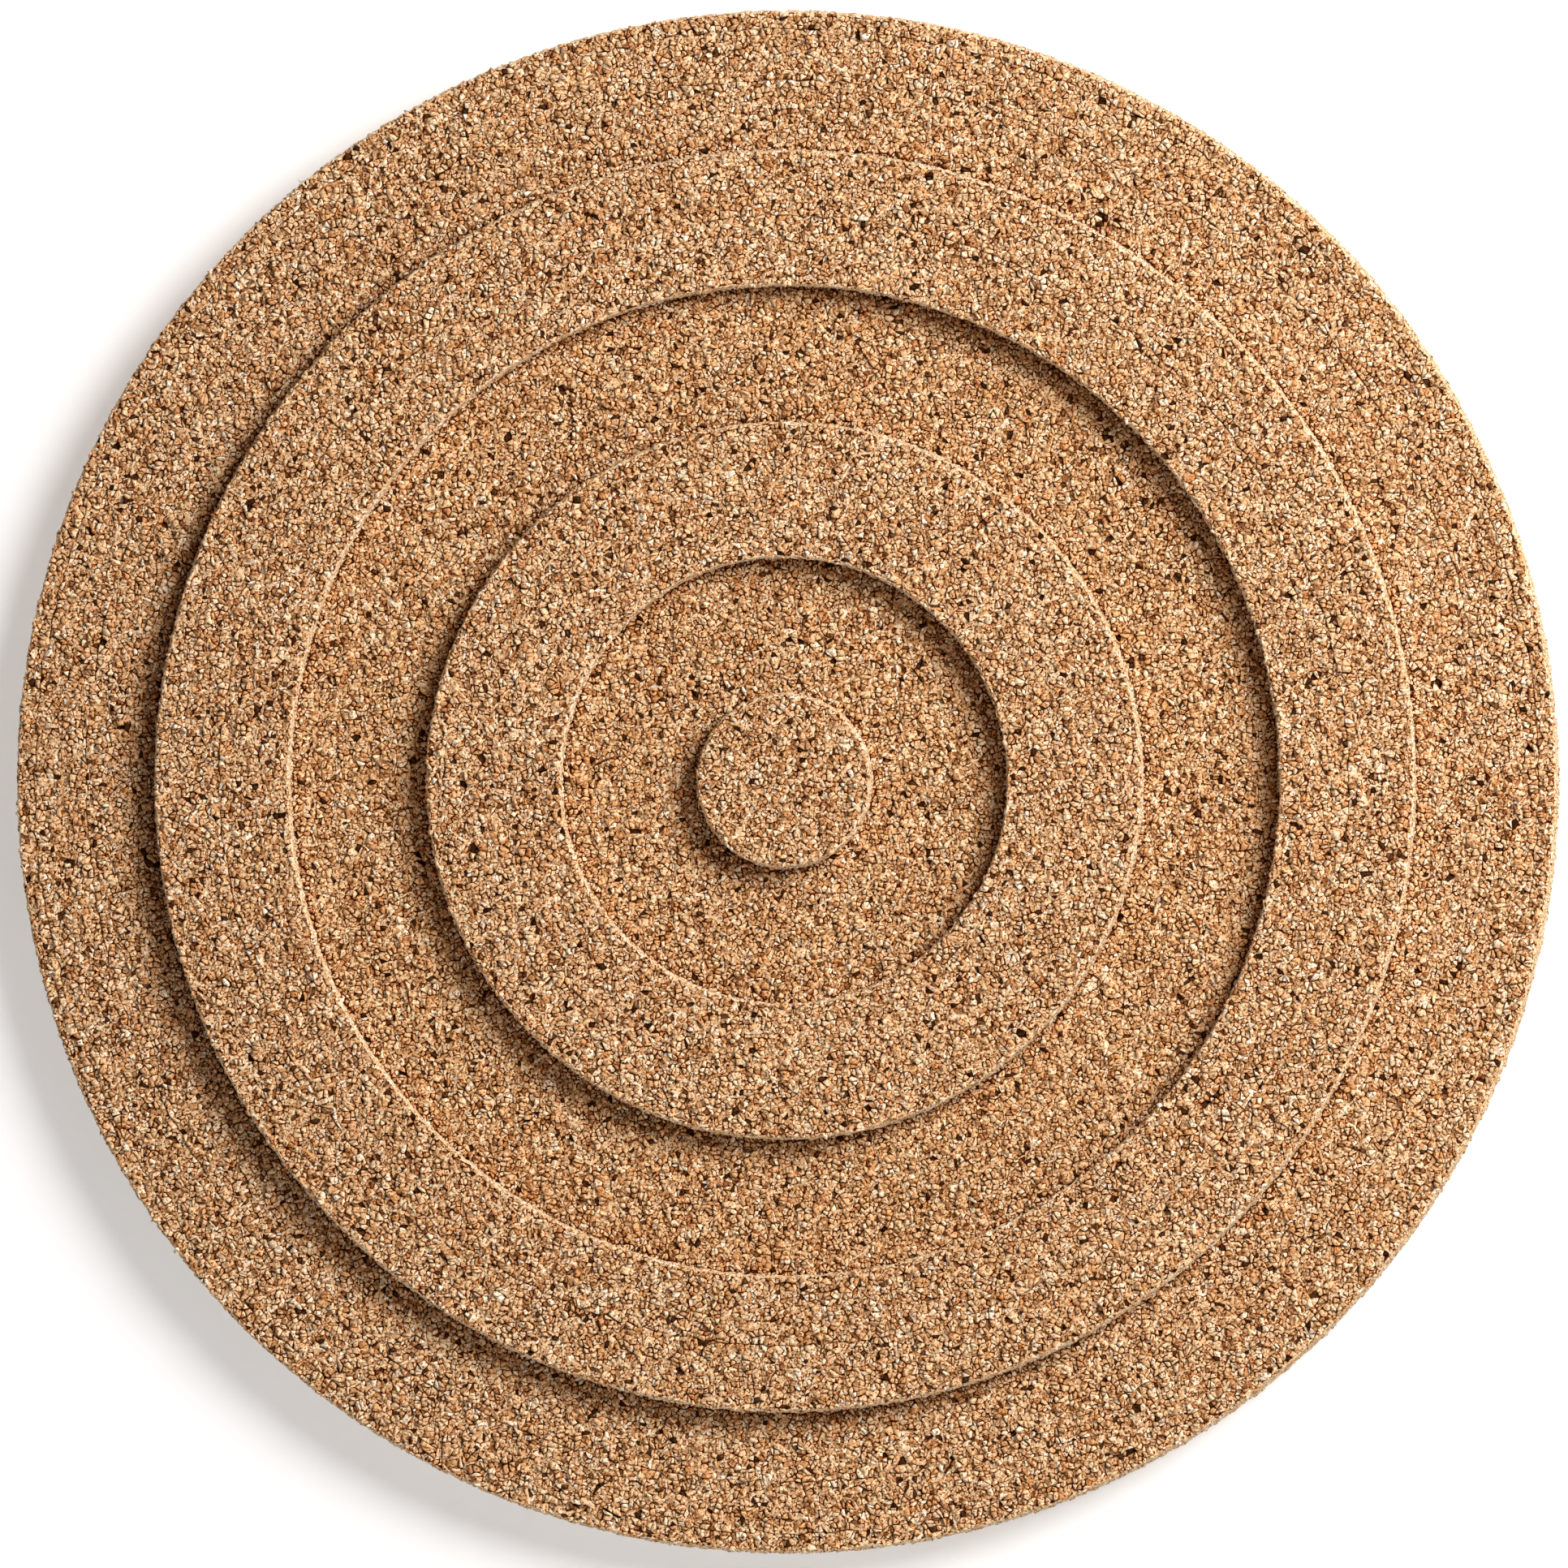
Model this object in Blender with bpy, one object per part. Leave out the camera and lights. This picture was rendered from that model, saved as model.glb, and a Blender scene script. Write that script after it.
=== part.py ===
"""A round cork pin board that hangs on a wall.

A thick cork disc carries two raised cork rings and a raised centre disc, all glued to its face. Rings and
sunk bands share one width. A fibreboard disc is let into the cork's back, and two keyhole plates are let into
that and screwed down, so that the back lies flat on the wall. The wall is the plane y = 0, the face looks
along -Y, and the origin is the middle of the back.
"""

import math

import bmesh
import bpy
from mathutils import Matrix, Vector

# Cork, in metres
BOARD_RADIUS = 0.150
BASE_THICKNESS = 0.012
RING_THICKNESS = 0.0062
CENTRE_RADIUS = 0.0169
BAND_WIDTH = 0.0263
BASE_DRAFT = 0.0005
RING_DRAFT = 0.0004
FACE_EASE = 0.0006
BACK_EASE = 0.0003

# Gap between pieces that touch
SEAT_GAP = 0.0003

# Fibreboard disc in the back
BACKING_RADIUS = 0.125
BACKING_THICKNESS = 0.006
BACKING_EASE = 0.0004

# Keyhole plates, measured from the plate's middle
HANGER_SPACING = 0.110
HANGER_HEIGHT = 0.062
PLATE_WIDTH = 0.016
PLATE_LENGTH = 0.048
PLATE_THICKNESS = 0.0012
PLATE_CORNER = 0.004
PLATE_SINK = 0.0002
PLATE_BEVEL = 0.0002
KEY_HEAD_RADIUS = 0.005
KEY_HEAD_HEIGHT = -0.005
KEY_SLOT_WIDTH = 0.005
KEY_SLOT_TOP = 0.009
POCKET_WIDTH = 0.013
POCKET_LENGTH = 0.024
POCKET_CORNER = 0.003

# Countersunk screws that hold a plate
SCREW_PITCH = 0.038
SCREW_HEAD_RADIUS = 0.0024
SCREW_SHANK_RADIUS = 0.0012
SCREW_TIP_RADIUS = 0.0003
SCREW_TIP_LENGTH = 0.0012
SCREW_LENGTH = 0.0049
SCREW_SINK = 0.0001
CROSS_ARM = 0.0014
CROSS_WIDTH = 0.0005
CROSS_DEPTH = 0.0007

# Facets round a circle
BOARD_SEGMENTS = 96
CENTRE_SEGMENTS = 64
SCREW_SEGMENTS = 20
ARC_STEPS = 3
KEY_STEPS = 18
OVERCUT = 0.002

# Places that follow from the sizes above
BASE_FACE = -BASE_THICKNESS
RING_BACK = BASE_FACE - SEAT_GAP
RING_FACE = RING_BACK - RING_THICKNESS
RECESS_RADIUS = BACKING_RADIUS + SEAT_GAP
RECESS_DEPTH = BACKING_THICKNESS + SEAT_GAP
PLATE_BACK = -PLATE_SINK
PLATE_FRONT = PLATE_BACK - PLATE_THICKNESS
PLATE_SEAT = PLATE_FRONT - SEAT_GAP
SCREW_BACK = PLATE_BACK - SCREW_SINK


def clear_scene():
    for obj in list(bpy.data.objects):
        bpy.data.objects.remove(obj, do_unlink=True)


def finish(name, colour, roughness, metallic=0.0):
    """A plain surface of one colour."""
    material = bpy.data.materials.new(name)
    material.use_nodes = True
    shader = material.node_tree.nodes["Principled BSDF"]
    shader.inputs["Base Color"].default_value = (*colour, 1.0)
    shader.inputs["Roughness"].default_value = roughness
    shader.inputs["Metallic"].default_value = metallic
    material.diffuse_color = (*colour, 1.0)
    return material


def eased(corners, steps=ARC_STEPS):
    """An outline through corners (x, y, radius), each corner rounded to an arc of its radius."""
    outline = []
    for i, (x, y, radius) in enumerate(corners):
        corner = Vector((x, y))
        if radius == 0:
            outline.append(corner)
            continue
        back = (Vector(corners[i - 1][:2]) - corner).normalized()
        ahead = (Vector(corners[(i + 1) % len(corners)][:2]) - corner).normalized()
        half = back.angle(ahead) / 2
        centre = corner + (back + ahead).normalized() * radius / math.sin(half)
        start = corner + back * radius / math.tan(half) - centre
        end = corner + ahead * radius / math.tan(half) - centre
        sweep = math.atan2(start.cross(end), start.dot(end))
        for step in range(steps + 1):
            outline.append(centre + Matrix.Rotation(sweep * step / steps, 2) @ start)
    return outline


def rounded_rectangle(width, height, corner):
    """An outline about the origin with four equal round corners."""
    x, z = width / 2, height / 2
    return eased([(x, z, corner), (-x, z, corner), (-x, -z, corner), (x, -z, corner)])


def add_object(name, bm, material, parent):
    """A smooth-shaded object from the mesh, with its faces turned outwards."""
    bmesh.ops.recalc_face_normals(bm, faces=bm.faces)
    mesh = bpy.data.meshes.new(name)
    bm.to_mesh(mesh)
    bm.free()
    mesh.shade_smooth()
    mesh.set_sharp_from_angle(angle=math.radians(35))
    if material:
        mesh.materials.append(material)
    obj = bpy.data.objects.new(name, mesh)
    obj.parent = parent
    bpy.context.scene.collection.objects.link(obj)
    return obj


def add_place(name, location, parent=None):
    """An empty that carries pieces."""
    place = bpy.data.objects.new(name, None)
    place.location = location
    place.parent = parent
    place.empty_display_size = 0.02
    bpy.context.scene.collection.objects.link(place)
    return place


def turned(name, profile, segments, material, parent, ring=False):
    """A profile of (radius, y) points turned about the Y axis: a ring, or a body closed on the axis."""
    bm = bmesh.new()
    verts = [bm.verts.new((radius, y, 0)) for radius, y in profile]
    ends = verts[1:] + verts[:1] if ring else verts[1:]
    edges = [bm.edges.new(pair) for pair in zip(verts, ends)]
    bmesh.ops.spin(
        bm,
        geom=verts + edges,
        cent=(0, 0, 0),
        axis=(0, 1, 0),
        angle=math.tau,
        steps=segments,
        use_merge=True,
    )
    bmesh.ops.remove_doubles(bm, verts=bm.verts, dist=1e-7)
    return add_object(name, bm, material, parent)


def extruded(name, outline, start, end, material, parent):
    """A flat outline of (x, z) points carried along Y from start to end."""
    bm = bmesh.new()
    face = bm.faces.new([bm.verts.new((x, start, z)) for x, z in outline])
    grown = bmesh.ops.extrude_face_region(bm, geom=[face])
    verts = [item for item in grown["geom"] if isinstance(item, bmesh.types.BMVert)]
    bmesh.ops.translate(bm, verts=verts, vec=(0, end - start, 0))
    return add_object(name, bm, material, parent)


def cut(target, cutter):
    """Takes the cutter's shape out of the target, and hides the cutter."""
    cutter.hide_render = True
    cutter.display_type = "WIRE"
    boolean = target.modifiers.new(cutter.name, "BOOLEAN")
    boolean.operation = "DIFFERENCE"
    boolean.solver = "EXACT"
    boolean.object = cutter


def base_disc(board):
    """The thick cork disc, drafted towards its face, with a round recess in its back."""
    profile = eased(
        [
            (0, BASE_FACE, 0),
            (BOARD_RADIUS - BASE_DRAFT, BASE_FACE, FACE_EASE),
            (BOARD_RADIUS, 0, BACK_EASE),
            (RECESS_RADIUS, 0, BACK_EASE),
            (RECESS_RADIUS, -RECESS_DEPTH, 0),
            (0, -RECESS_DEPTH, 0),
        ]
    )
    cork = finish("base_cork", (0.50, 0.29, 0.14), 0.85)
    return turned("base_disc", profile, BOARD_SEGMENTS, cork, board)


def cork_ring(name, inner, outer, material, board):
    """A cork ring on the base's face. Its walls lean out by the draft towards the base."""
    profile = eased(
        [
            (inner, RING_FACE, FACE_EASE),
            (outer, RING_FACE, FACE_EASE),
            (outer + RING_DRAFT, RING_BACK, 0),
            (inner - RING_DRAFT, RING_BACK, 0),
        ]
    )
    return turned(name, profile, BOARD_SEGMENTS, material, board, ring=True)


def centre_disc(board):
    """The cork disc in the middle of the face."""
    profile = eased(
        [
            (0, RING_FACE, 0),
            (CENTRE_RADIUS, RING_FACE, FACE_EASE),
            (CENTRE_RADIUS + RING_DRAFT, RING_BACK, 0),
            (0, RING_BACK, 0),
        ]
    )
    cork = finish("centre_cork", (0.54, 0.32, 0.16), 0.85)
    return turned("centre_disc", profile, CENTRE_SEGMENTS, cork, board)


def backing_board(board):
    """The fibreboard disc in the back, which holds the hangers and stops pin points."""
    profile = eased(
        [
            (0, -BACKING_THICKNESS, 0),
            (BACKING_RADIUS, -BACKING_THICKNESS, BACKING_EASE),
            (BACKING_RADIUS, 0, BACKING_EASE),
            (0, 0, 0),
        ]
    )
    fibreboard = finish("fibreboard", (0.30, 0.18, 0.09), 0.7)
    return turned("backing_board", profile, BOARD_SEGMENTS, fibreboard, board)


def keyhole_outline():
    """A round hole for a screw head that runs up into a slot for its neck."""
    neck = KEY_SLOT_WIDTH / 2
    mouth = math.asin(neck / KEY_HEAD_RADIUS)
    first = math.pi / 2 + mouth
    sweep = math.tau - 2 * mouth
    outline = []
    for step in range(KEY_STEPS + 1):
        angle = first + sweep * step / KEY_STEPS
        x = KEY_HEAD_RADIUS * math.cos(angle)
        outline.append((x, KEY_HEAD_HEIGHT + KEY_HEAD_RADIUS * math.sin(angle)))
    for step in range(KEY_STEPS // 2 + 1):
        angle = math.pi * step / (KEY_STEPS // 2)
        outline.append((neck * math.cos(angle), KEY_SLOT_TOP - neck + neck * math.sin(angle)))
    return outline


def hanger_plate(side, steel, place):
    """A steel keyhole plate with a countersunk hole at each end."""
    outline = rounded_rectangle(PLATE_WIDTH, PLATE_LENGTH, PLATE_CORNER)
    plate = extruded(f"hanger_plate_{side}", outline, PLATE_BACK, PLATE_FRONT, steel, place)
    bevel = plate.modifiers.new("edges", "BEVEL")
    bevel.width = PLATE_BEVEL
    bevel.segments = 1
    bevel.limit_method = "ANGLE"
    bevel.angle_limit = math.radians(60)
    keyhole = extruded(f"keyhole_{side}", keyhole_outline(), OVERCUT, PLATE_SEAT - OVERCUT, None, place)
    cut(plate, keyhole)
    return plate


def countersink(name, height, place):
    """A cutter for a screw's hole in the plate: a cone in line with the screw's head, and a clear bore."""
    head = SCREW_HEAD_RADIUS + SEAT_GAP * math.sqrt(2)
    bore = SCREW_SHANK_RADIUS + SEAT_GAP
    profile = [
        (0, OVERCUT),
        (head + OVERCUT - SCREW_BACK, OVERCUT),
        (bore, SCREW_BACK - (head - bore)),
        (bore, PLATE_SEAT - OVERCUT),
        (0, PLATE_SEAT - OVERCUT),
    ]
    hole = turned(name, profile, SCREW_SEGMENTS, None, place)
    hole.location.z = height
    return hole


def pilot_hole(name, height, place):
    """A cutter for a screw's blind hole in the fibreboard."""
    bore = SCREW_SHANK_RADIUS + SEAT_GAP
    bottom = SCREW_BACK - SCREW_LENGTH - SEAT_GAP
    profile = [(0, OVERCUT), (bore, OVERCUT), (bore, bottom), (0, bottom)]
    hole = turned(name, profile, SCREW_SEGMENTS, None, place)
    hole.location.z = height
    return hole


def cross_outline():
    """A plus sign of four equal arms."""
    arm, half = CROSS_ARM, CROSS_WIDTH / 2
    quarter = [Vector((half, half)), Vector((half, arm)), Vector((-half, arm))]
    return [Matrix.Rotation(turn * math.pi / 2, 2) @ point for turn in range(4) for point in quarter]


def hanger_screw(side, level, height, steel, place):
    """A short countersunk screw with a cross in its head and a tapered tip."""
    tip = SCREW_BACK - SCREW_LENGTH
    profile = [
        (0, SCREW_BACK),
        (SCREW_HEAD_RADIUS, SCREW_BACK),
        (SCREW_SHANK_RADIUS, SCREW_BACK - (SCREW_HEAD_RADIUS - SCREW_SHANK_RADIUS)),
        (SCREW_SHANK_RADIUS, tip + SCREW_TIP_LENGTH),
        (SCREW_TIP_RADIUS, tip),
        (0, tip),
    ]
    screw = turned(f"hanger_screw_{side}_{level}", profile, SCREW_SEGMENTS, steel, place)
    screw.location.z = height
    cross = extruded(
        f"cross_{side}_{level}", cross_outline(), OVERCUT, SCREW_BACK - CROSS_DEPTH, None, screw
    )
    cut(screw, cross)
    return screw


def hanger(side, x, backing, plate_steel, screw_steel, board):
    """A keyhole plate in its seat, the pocket behind it for a wall screw's head, and its two screws."""
    place = add_place(f"hanger_{side}", (x, 0, HANGER_HEIGHT), board)
    plate = hanger_plate(side, plate_steel, place)
    seat_outline = rounded_rectangle(
        PLATE_WIDTH + 2 * SEAT_GAP, PLATE_LENGTH + 2 * SEAT_GAP, PLATE_CORNER + SEAT_GAP
    )
    cut(backing, extruded(f"seat_{side}", seat_outline, OVERCUT, PLATE_SEAT, None, place))
    pocket_outline = rounded_rectangle(POCKET_WIDTH, POCKET_LENGTH, POCKET_CORNER)
    pocket_end = -BACKING_THICKNESS - OVERCUT
    cut(backing, extruded(f"pocket_{side}", pocket_outline, OVERCUT, pocket_end, None, place))
    for level, height in (("upper", SCREW_PITCH / 2), ("lower", -SCREW_PITCH / 2)):
        cut(plate, countersink(f"countersink_{side}_{level}", height, place))
        cut(backing, pilot_hole(f"pilot_{side}_{level}", height, place))
        hanger_screw(side, level, height, screw_steel, place)


def build():
    clear_scene()
    board = add_place("pin_board", (0, 0, 0))
    base_disc(board)
    centre_disc(board)
    inner = CENTRE_RADIUS + BAND_WIDTH
    for name in ("inner_ring", "outer_ring"):
        cork = finish(f"{name}_cork", (0.54, 0.32, 0.16), 0.85)
        cork_ring(name, inner, inner + BAND_WIDTH, cork, board)
        inner += 2 * BAND_WIDTH
    backing = backing_board(board)
    plate_steel = finish("zinc_plated_steel", (0.62, 0.62, 0.60), 0.35, 1.0)
    screw_steel = finish("bright_steel", (0.70, 0.69, 0.66), 0.30, 1.0)
    for side, sign in (("left", -1), ("right", 1)):
        hanger(side, sign * HANGER_SPACING / 2, backing, plate_steel, screw_steel, board)


build()
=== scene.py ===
"""Looks for a round cork pin board: every granule of its faces is a small chip of its own.

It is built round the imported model, in that frame: metres, the wall at y = 0, the face along -Y and +Z up.
A cork face is a sheet of chips. At an edge the sheet is bent over, and it runs on down the wall.
"""

import math
from collections import namedtuple

import bpy
import numpy as np
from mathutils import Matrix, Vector
from mathutils.geometry import delaunay_2d_cdt


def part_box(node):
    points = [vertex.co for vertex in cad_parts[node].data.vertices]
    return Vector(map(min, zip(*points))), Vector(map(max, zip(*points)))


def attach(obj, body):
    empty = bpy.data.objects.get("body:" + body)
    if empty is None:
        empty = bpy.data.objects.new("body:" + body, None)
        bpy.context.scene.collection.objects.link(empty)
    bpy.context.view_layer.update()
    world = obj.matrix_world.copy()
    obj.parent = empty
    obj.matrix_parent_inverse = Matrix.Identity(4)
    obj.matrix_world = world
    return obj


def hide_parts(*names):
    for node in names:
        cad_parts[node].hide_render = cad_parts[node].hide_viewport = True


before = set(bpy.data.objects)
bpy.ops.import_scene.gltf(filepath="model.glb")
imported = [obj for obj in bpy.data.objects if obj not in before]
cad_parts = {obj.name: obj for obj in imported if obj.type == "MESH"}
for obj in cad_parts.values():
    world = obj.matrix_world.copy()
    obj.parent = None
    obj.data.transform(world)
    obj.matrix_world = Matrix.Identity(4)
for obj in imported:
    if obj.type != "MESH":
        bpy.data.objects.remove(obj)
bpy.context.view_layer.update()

MM = 0.001

# Places that the frame gives
BOARD_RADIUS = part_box("base_disc")[1].x
BASE_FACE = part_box("base_disc")[0].y
RING_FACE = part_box("outer_ring")[0].y
BACKING_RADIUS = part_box("backing_board")[1].x
BACKING_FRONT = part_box("backing_board")[0].y

# Cork sizes that the frame's boxes don't show
BAND_WIDTH = 26.02 * MM
GLUE_LINE = 0.1 * MM
RECESS_GAP = 0.3 * MM
RECESS_BEVEL = 0.3 * MM
HIDDEN_DROP = 0.2 * MM
UNDER_RING = 1.2 * MM
BACK_PLANE = -0.03 * MM
BACK_FLANGE = 0.5 * MM

# Where parts of one piece meet: seams under the rings, and wavy cracks between granules
SEAM_GAP = 0.05 * MM
OUTER_SEAM = 109 * MM
INNER_SEAM = 56 * MM
RING_CRACK = 109.5 * MM
SHOULDER_CRACK = 136 * MM
RIM_CRACK = 146 * MM

# How far a shown edge lies inside the solid's, since granules stand proud of the edge they sit on
OUTER_TRIM = 0.37 * MM
INNER_TRIM = 0.55 * MM
BASE_TRIM = 0.15 * MM

# How far the foot of a wall stands out from its edge
OUTER_LEAN = 0.34 * MM
INNER_LEAN = 0.15 * MM
BASE_LEAN = 0.4 * MM

# Seeds of granules, and the waves that sway their cells
LATTICE = 0.66 * MM
JITTER = 0.44
CRUMB_SHARE = 0.42
LEAST_EDGE_GAP = 0.2 * MM
GHOST_REACH = 3 * MM
SAME_POINT = 1e-7
SWAY_SEED = 5
SWAY_WAVES = 10
SWAY_LENGTH = (2.5 * MM, 6 * MM)
SWAY_PUSH = 0.13 * MM
SWAY_FADE = 2 * MM
SHORT_EDGE = 0.2 * MM
MERGE_PASSES = 8
ON_CIRCLE = 0.05 * MM

# Chips, and the crumbs between them. A pair gives the least and the most
CHIP_AREA = 0.85 * MM * MM
CHIP_GAP = (0.09 * MM, 0.40 * MM)
GAP_BY_DEPTH = 0.6
MOST_INSET = 0.5
CHIP_LIFT = 0.32 * MM
CHIP_TILT = 0.38
MOST_LIFT = 0.55 * MM
MOST_TILT = 0.75
CROWN_RISE = (0.0 * MM, 0.3 * MM)
CROWN_LEAN = 0.09
CRUMB_LIFT = 0.1 * MM
CRUMB_SINK = 0.03 * MM
PIT_SHARE = 0.01
PIT_DEPTH = 0.5 * MM
GROOVE_DEPTH = (0.2 * MM, 1.0 * MM)

# Edges, and walls on which granules lie flatter than on a face
EDGE_ROUND = 0.45 * MM
EDGE_GROOVE = 0.36 * MM
ARC_REACH = 1.7
WALL_FLUSH = 0.6
WALL_SEAMS = 0.75

# Marks that the cork's colours are read from, with the shade painted into its grooves and corners
PALE_AREA = 1.0 * MM * MM
PALE_TONES = (0.1, 0.98)
DARK_TURN = 1.2
PIT_TONE = 0.01
WALL_PALE = 0.58
RIM_PALE = 0.4
# Painted shade at the bottom of grooves, least and most, by a groove's depth
GROOVE_PAINTED_SHADE = (0.3, 1.4)
# A crumb's tip lies far below the painted gap shade, so that only its lower part darkens
CRUMB_SHADE = -1.5
# Painted shade in the corner where a wall meets a face: the sheet is darkened near each wall's foot
FOOT_PAINTED_SHADE = 0.45
FOOT_REACH = 1.5 * MM

# Which of a piece's two materials a face has
GRANULE, CUT = 0, 1

# Unrolled map: faces that show fill a circle, and hidden ones lie over each other in a corner
MAP_MIDDLE = 0.5
MAP_REACH = 0.499
CORNER_MIDDLE = 0.06
CORNER_REACH = 0.05

# Picture frame
FRAME_PIXELS = 1932
PIXELS_PER_METRE = 6346
BOARD_MIDDLE_PIXELS = (971.4, 963.4)
CAMERA_DISTANCE = 5.0
CAMERA_SLOPES = (0.051, 0.0171)
CAMERA_END = 50.0
SENSOR = 36.0

# Stage and light
STAGE_REACH = 6.0
WALL_PLANE = 0.5 * MM
FLOOR_LEVEL = -0.6
PAPER_GREY = 0.64
PAPER_GLOW = 0.39
LAMP_DISTANCE = 1.5
WHITE = (1.0, 1.0, 1.0)
WEAK_TINT = (1.0, 0.56, 0.33)
AMBIENT_LEVEL = 0.033
KEY = {"azimuth": math.radians(35), "height": math.radians(45.5), "size": 0.85, "level": 1.0}
FILL = {"azimuth": math.radians(35), "height": math.radians(72), "size": 1.2, "level": 0.058}
BACK = {"place": (-0.8, 1.4, 0.9), "size": 0.6, "watts": 23}


class Solid:
    """Points and faces of one closed piece, with the marks that its materials and its unrolled map need."""

    def __init__(self):
        self.points = []
        self.flat = []
        self.gaps = []
        self.count = 0
        self.faces = []

    def add_points(self, points, flat, gap):
        """Points (x, y, z), their places on the unrolled map and how much painted shade of a groove or a
        wall's foot they take. Returns their numbers."""
        numbers = self.count + np.arange(len(points))
        self.points.append(points)
        self.flat.append(flat)
        self.gaps.append(np.broadcast_to(gap, len(points)))
        self.count += len(points)
        return numbers

    def add_faces(self, corners, material=GRANULE, tone=0.5, hue=0.5, hidden=False):
        """Faces of one corner count, one row each, and the marks they share or have each."""
        marks = [np.broadcast_to(mark, len(corners)) for mark in (material, tone, hue, hidden)]
        self.faces.append((corners, marks))

    def at(self, numbers):
        """Points by their numbers."""
        return np.concatenate(self.points)[numbers]

    def flat_at(self, numbers):
        """Places on the unrolled map, by their points' numbers."""
        return np.concatenate(self.flat)[numbers]


def mixed(ends, share):
    """The value a share of the way from one end to the other."""
    return ends[0] + (ends[1] - ends[0]) * share


def polar(radius, angle, y):
    """Points at a radius and angle round the board's axis, at depth y."""
    radius, angle, y = np.broadcast_arrays(radius, angle, y)
    return np.stack([radius * np.cos(angle), y, radius * np.sin(angle)], axis=-1)


# A wall that a sheet of granules runs down: side is 1 at an outer edge and -1 at an inner one, edge is the
# edge's radius, and lean is how far the wall's foot stands out
Drop = namedtuple("Drop", "side edge height lean")


def foot(drop):
    """The radius on a flat sheet that comes to the wall's foot once the sheet is bent over the edge."""
    return drop.edge + drop.side * (drop.height + EDGE_ROUND * (math.pi / 2 - 2))


def bent(flat, height, face, drops):
    """Sets points of a flat sheet in the frame, each at a height over the sheet. The sheet lies on the face.
    Past an edge it runs round a quarter of a small circle, then straight down a wall that leans out. Heights
    stay square to the sheet, and near the arc none goes deeper than EDGE_GROOVE."""
    radius = reach = np.hypot(*flat.T)
    y, out, up = face, 0.0, 1.0
    for drop in drops:
        start = drop.edge - drop.side * EDGE_ROUND
        beyond = drop.side * (reach - start)
        turn = np.clip(beyond / EDGE_ROUND, 0, math.pi / 2)
        down = EDGE_ROUND * (1 - np.cos(turn)) + np.maximum(beyond - EDGE_ROUND * math.pi / 2, 0)
        across = EDGE_ROUND * np.sin(turn) + drop.lean * down / drop.height
        radius = np.where(beyond > 0, start + drop.side * across, radius)
        y = y + down
        out = out + drop.side * np.sin(turn)
        up = up * np.cos(turn)
        near = np.abs(beyond / EDGE_ROUND - math.pi / 4) < ARC_REACH
        height = np.where(near, np.maximum(height, -EDGE_GROOVE), height)
    return polar(radius + out * height, np.arctan2(flat[:, 1], flat[:, 0]), y - up * height)


def fallen(flat, drops):
    """How far the sheet is bent down at its points: 0 on the face, 1 on a wall."""
    reach = np.hypot(*flat.T)
    past = [1 + drop.side * (reach - drop.edge) / EDGE_ROUND for drop in drops]
    return np.clip(np.max([np.zeros(len(reach)), *past], axis=0) * 2 / math.pi, 0, 1)


def painted_foot_shade(flat, feet):
    """Painted shade beside the feet of walls, where a wall meets a face: most at a foot, less and less to
    FOOT_REACH.
    """
    reach = np.hypot(*flat.T)
    near = [1 - np.abs(reach - edge) / FOOT_REACH for edge in feet]
    return FOOT_PAINTED_SHADE * np.max([np.zeros(len(reach)), *near], axis=0)


def granule_seeds(rng, inner, outer):
    """Seeds on a jittered square lattice between two radii. A seed that outranks its eight neighbours grows
    into a large chip and clears some of them. The rest stay as crumbs."""
    half = int(outer / LATTICE) + 2
    rank = rng.random((2 * half + 1, 2 * half + 1))
    steps = [(i, j) for i in (-1, 0, 1) for j in (-1, 0, 1) if i or j]
    large = rank > np.max([np.roll(rank, step, (0, 1)) for step in steps], axis=0)
    crowded = np.any([np.roll(large, step, (0, 1)) for step in steps], axis=0)
    kept = np.argwhere(~crowded | (rng.random(rank.shape) < CRUMB_SHARE)) - half
    seeds = LATTICE * (kept + rng.uniform(-JITTER, JITTER, kept.shape))
    radius = np.hypot(*seeds.T)
    return seeds[(radius > inner + LEAST_EDGE_GAP * (inner > 0)) & (radius < outer - LEAST_EDGE_GAP)]


def mirrored(seeds, edge):
    """The seeds near a circle, reflected in it, so that the cells between the two end on the circle."""
    radius = np.hypot(*seeds.T)
    near = np.abs(radius - edge) < GHOST_REACH
    return seeds[near] * ((2 * edge - radius[near]) / radius[near])[:, None]


def voronoi_cells(points, real):
    """Cells round the first real points. A cell's corners are the middles of the circles through the Delaunay
    triangles that meet at its seed, in order of angle. Returns the corners' places, and the cell and the
    corner number of each pair, sorted by cell."""
    scaled = [Vector(point) for point in points / LATTICE]
    _, _, faces, origin, _, _ = delaunay_2d_cdt(scaled, [], [], 0, SAME_POINT)
    seeds = np.array([source[0] for source in origin])[np.array(faces)]
    first = points[seeds[:, 0]]
    (bx, by), (cx, cy) = (points[seeds[:, 1]] - first).T, (points[seeds[:, 2]] - first).T
    b, c, d = bx * bx + by * by, cx * cx + cy * cy, 2 * (bx * cy - by * cx)
    middles = first + np.stack([(cy * b - by * c) / d, (bx * c - cx * b) / d], axis=1)
    cell = seeds.ravel()
    corner = np.repeat(np.arange(len(seeds)), 3)
    corner, cell = corner[cell < real], cell[cell < real]
    way = middles[corner] - points[cell]
    order = np.lexsort((np.arctan2(way[:, 1], way[:, 0]), cell))
    used, corner = np.unique(corner[order], return_inverse=True)
    return middles[used], cell[order], corner


def swayed(places, fade):
    """Places pushed by a sum of plane waves, which draws cells out long, each way by turns. The waves are the
    same for every piece."""
    rng = np.random.default_rng(SWAY_SEED)
    turn, lean, phase = rng.uniform(0, 2 * math.pi, (3, SWAY_WAVES))
    pace = 2 * math.pi / rng.uniform(*SWAY_LENGTH, SWAY_WAVES)
    wave = np.sin(places @ (pace * [np.cos(turn), np.sin(turn)]) + phase)
    push = wave @ np.stack([np.cos(lean), np.sin(lean)], axis=1)
    return places + SWAY_PUSH * fade[:, None] * push


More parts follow.
